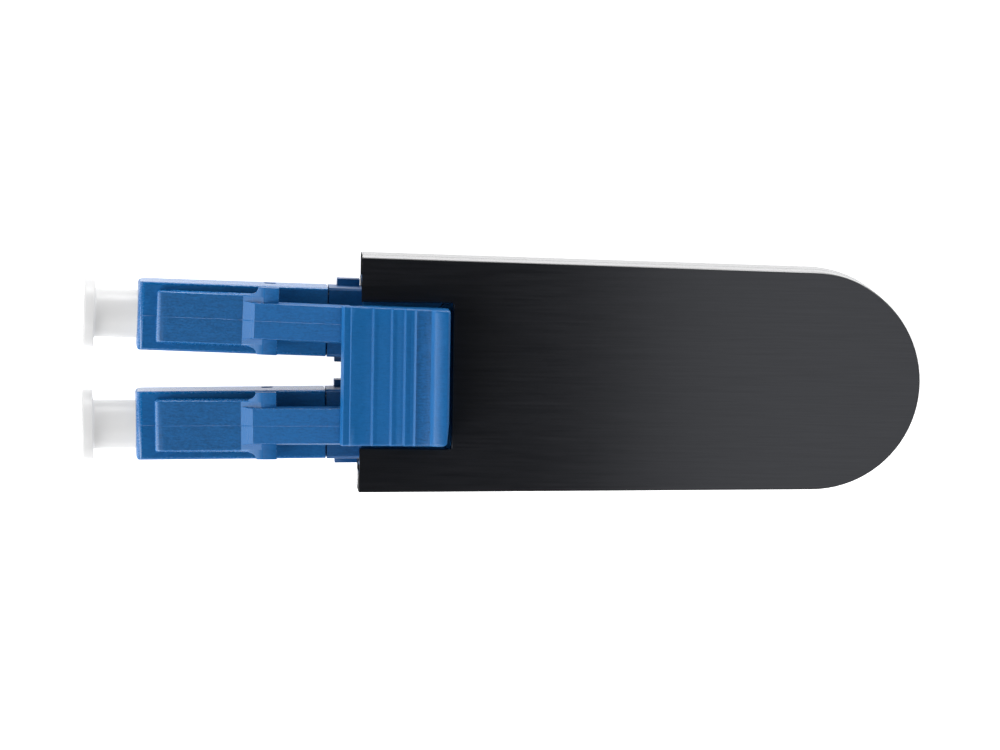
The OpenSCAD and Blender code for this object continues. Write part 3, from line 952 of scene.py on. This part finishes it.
def coil(k, m):
    """The spring between the stop behind and the ferrule's flange in front: a smooth-shaded copy of the CAD coil."""
    M = place(m)
    ob = cad_copy(f"spring_{k}", f"coil_{k}", [STEEL], dissolve=False)
    for f in ob.data.polygons:
        f.use_smooth = True
    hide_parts(f"spring_{k}")
    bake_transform(ob)
    return ob


for k, m in SIDES.items():
    plug_body(k, m)
    coil(k, m)
    latch(k, m)
    rear(k, m)
    cap(k, m)

# ---------------------------------------------------------------- inner CAD nodes
for name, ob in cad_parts.items():
    base = name[:-2] if name[-2:] in ("_a", "_b") else name
    mat = {"ferrule": CERAMIC, "ferrule_flange": NICKEL, "spring_stop": NICKEL, "spring": STEEL, "boot": BOOT,
           "fibre_loop": FIBRE, "top_shell": SHELL_TOP, "bottom_shell": SHELL_LOW, "duplex_clip": BLUE_TRIGGER,
           "trigger": BLUE_TRIGGER, "plug_body": BLUE, "latch_arm": BLUE, "rear_body": BLUE_REAR_SHADED, "dust_cap": CAP}[base]
    ob.data.materials.clear()
    ob.data.materials.append(mat)

# ---------------------------------------------------------------- floor and light
me = bpy.data.meshes.new("table")
me.from_pydata([(-1.2, -1.2, -3e-5), (1.2, -1.2, -3e-5), (1.2, 1.2, -3e-5), (-1.2, 1.2, -3e-5)], [], [(0, 1, 2, 3)])
table = bpy.data.objects.new("table", me)
scene.collection.objects.link(table)
TABLE, nt, b = new_material("pale_table")
b.inputs["Base Color"].default_value = (0.82, 0.82, 0.82, 1)
b.inputs["Roughness"].default_value = 0.9
b.inputs["Emission Color"].default_value = (1, 1, 1, 1)
b.inputs["Emission Strength"].default_value = 0.90
me.materials.append(TABLE)

w = bpy.data.worlds.new("studio")
scene.world = w
w.use_nodes = True
nt = w.node_tree
bg = nt.nodes["Background"]
tc = node(nt, "ShaderNodeTexCoord")
sky = tc.outputs["Generated"]


def lobe(direction, power, strength):
    """A soft light patch around one direction."""
    d = Vector(direction).normalized()
    n = node(nt, "ShaderNodeVectorMath", operation="DOT_PRODUCT")
    nt.links.new(sky, n.inputs[0])
    n.inputs[1].default_value = d
    k = math_node(nt, "POWER", math_node(nt, "MAXIMUM", n.outputs["Value"], 0.0), power)
    return math_node(nt, "MULTIPLY", k, strength)


def towards(elevation, azimuth):
    e, a = math.radians(elevation), math.radians(azimuth)
    return (math.cos(e) * math.cos(a), math.cos(e) * math.sin(a), math.sin(e))


level = 0.0
for elevation, azimuth, power, strength in ((13, 0, 22, 0.7), (13, 90, 22, 0.3), (13, 180, 22, 2.9), (13, 225, 22, 0.9),
                                            (2, 0, 40, 3.9), (2, 45, 40, 11.2), (2, 90, 40, 23.0), (2, 135, 40, 2.6),
                                            (30, 180, 14, 2.7), (30, 225, 14, 9.1)):
    level = math_node(nt, "ADD", level, lobe(towards(elevation, azimuth), power, strength))
bg.inputs["Color"].default_value = (1.0, 1.0, 1.0, 1)
nt.links.new(level, bg.inputs["Strength"])


def area(name, where, size_x, size_y, power):
    """A soft box that faces straight down."""
    l = bpy.data.lights.new(name, "AREA")
    l.shape = "RECTANGLE"
    l.size = size_x
    l.size_y = size_y
    l.energy = power
    l.color = (0.96, 0.98, 1.05)
    o = bpy.data.objects.new(name, l)
    scene.collection.objects.link(o)
    o.location = where
    o.visible_camera = False
    return o


area("sheen_right", (0.030, -0.004, 0.045), 0.040, 0.060, 0.0096)
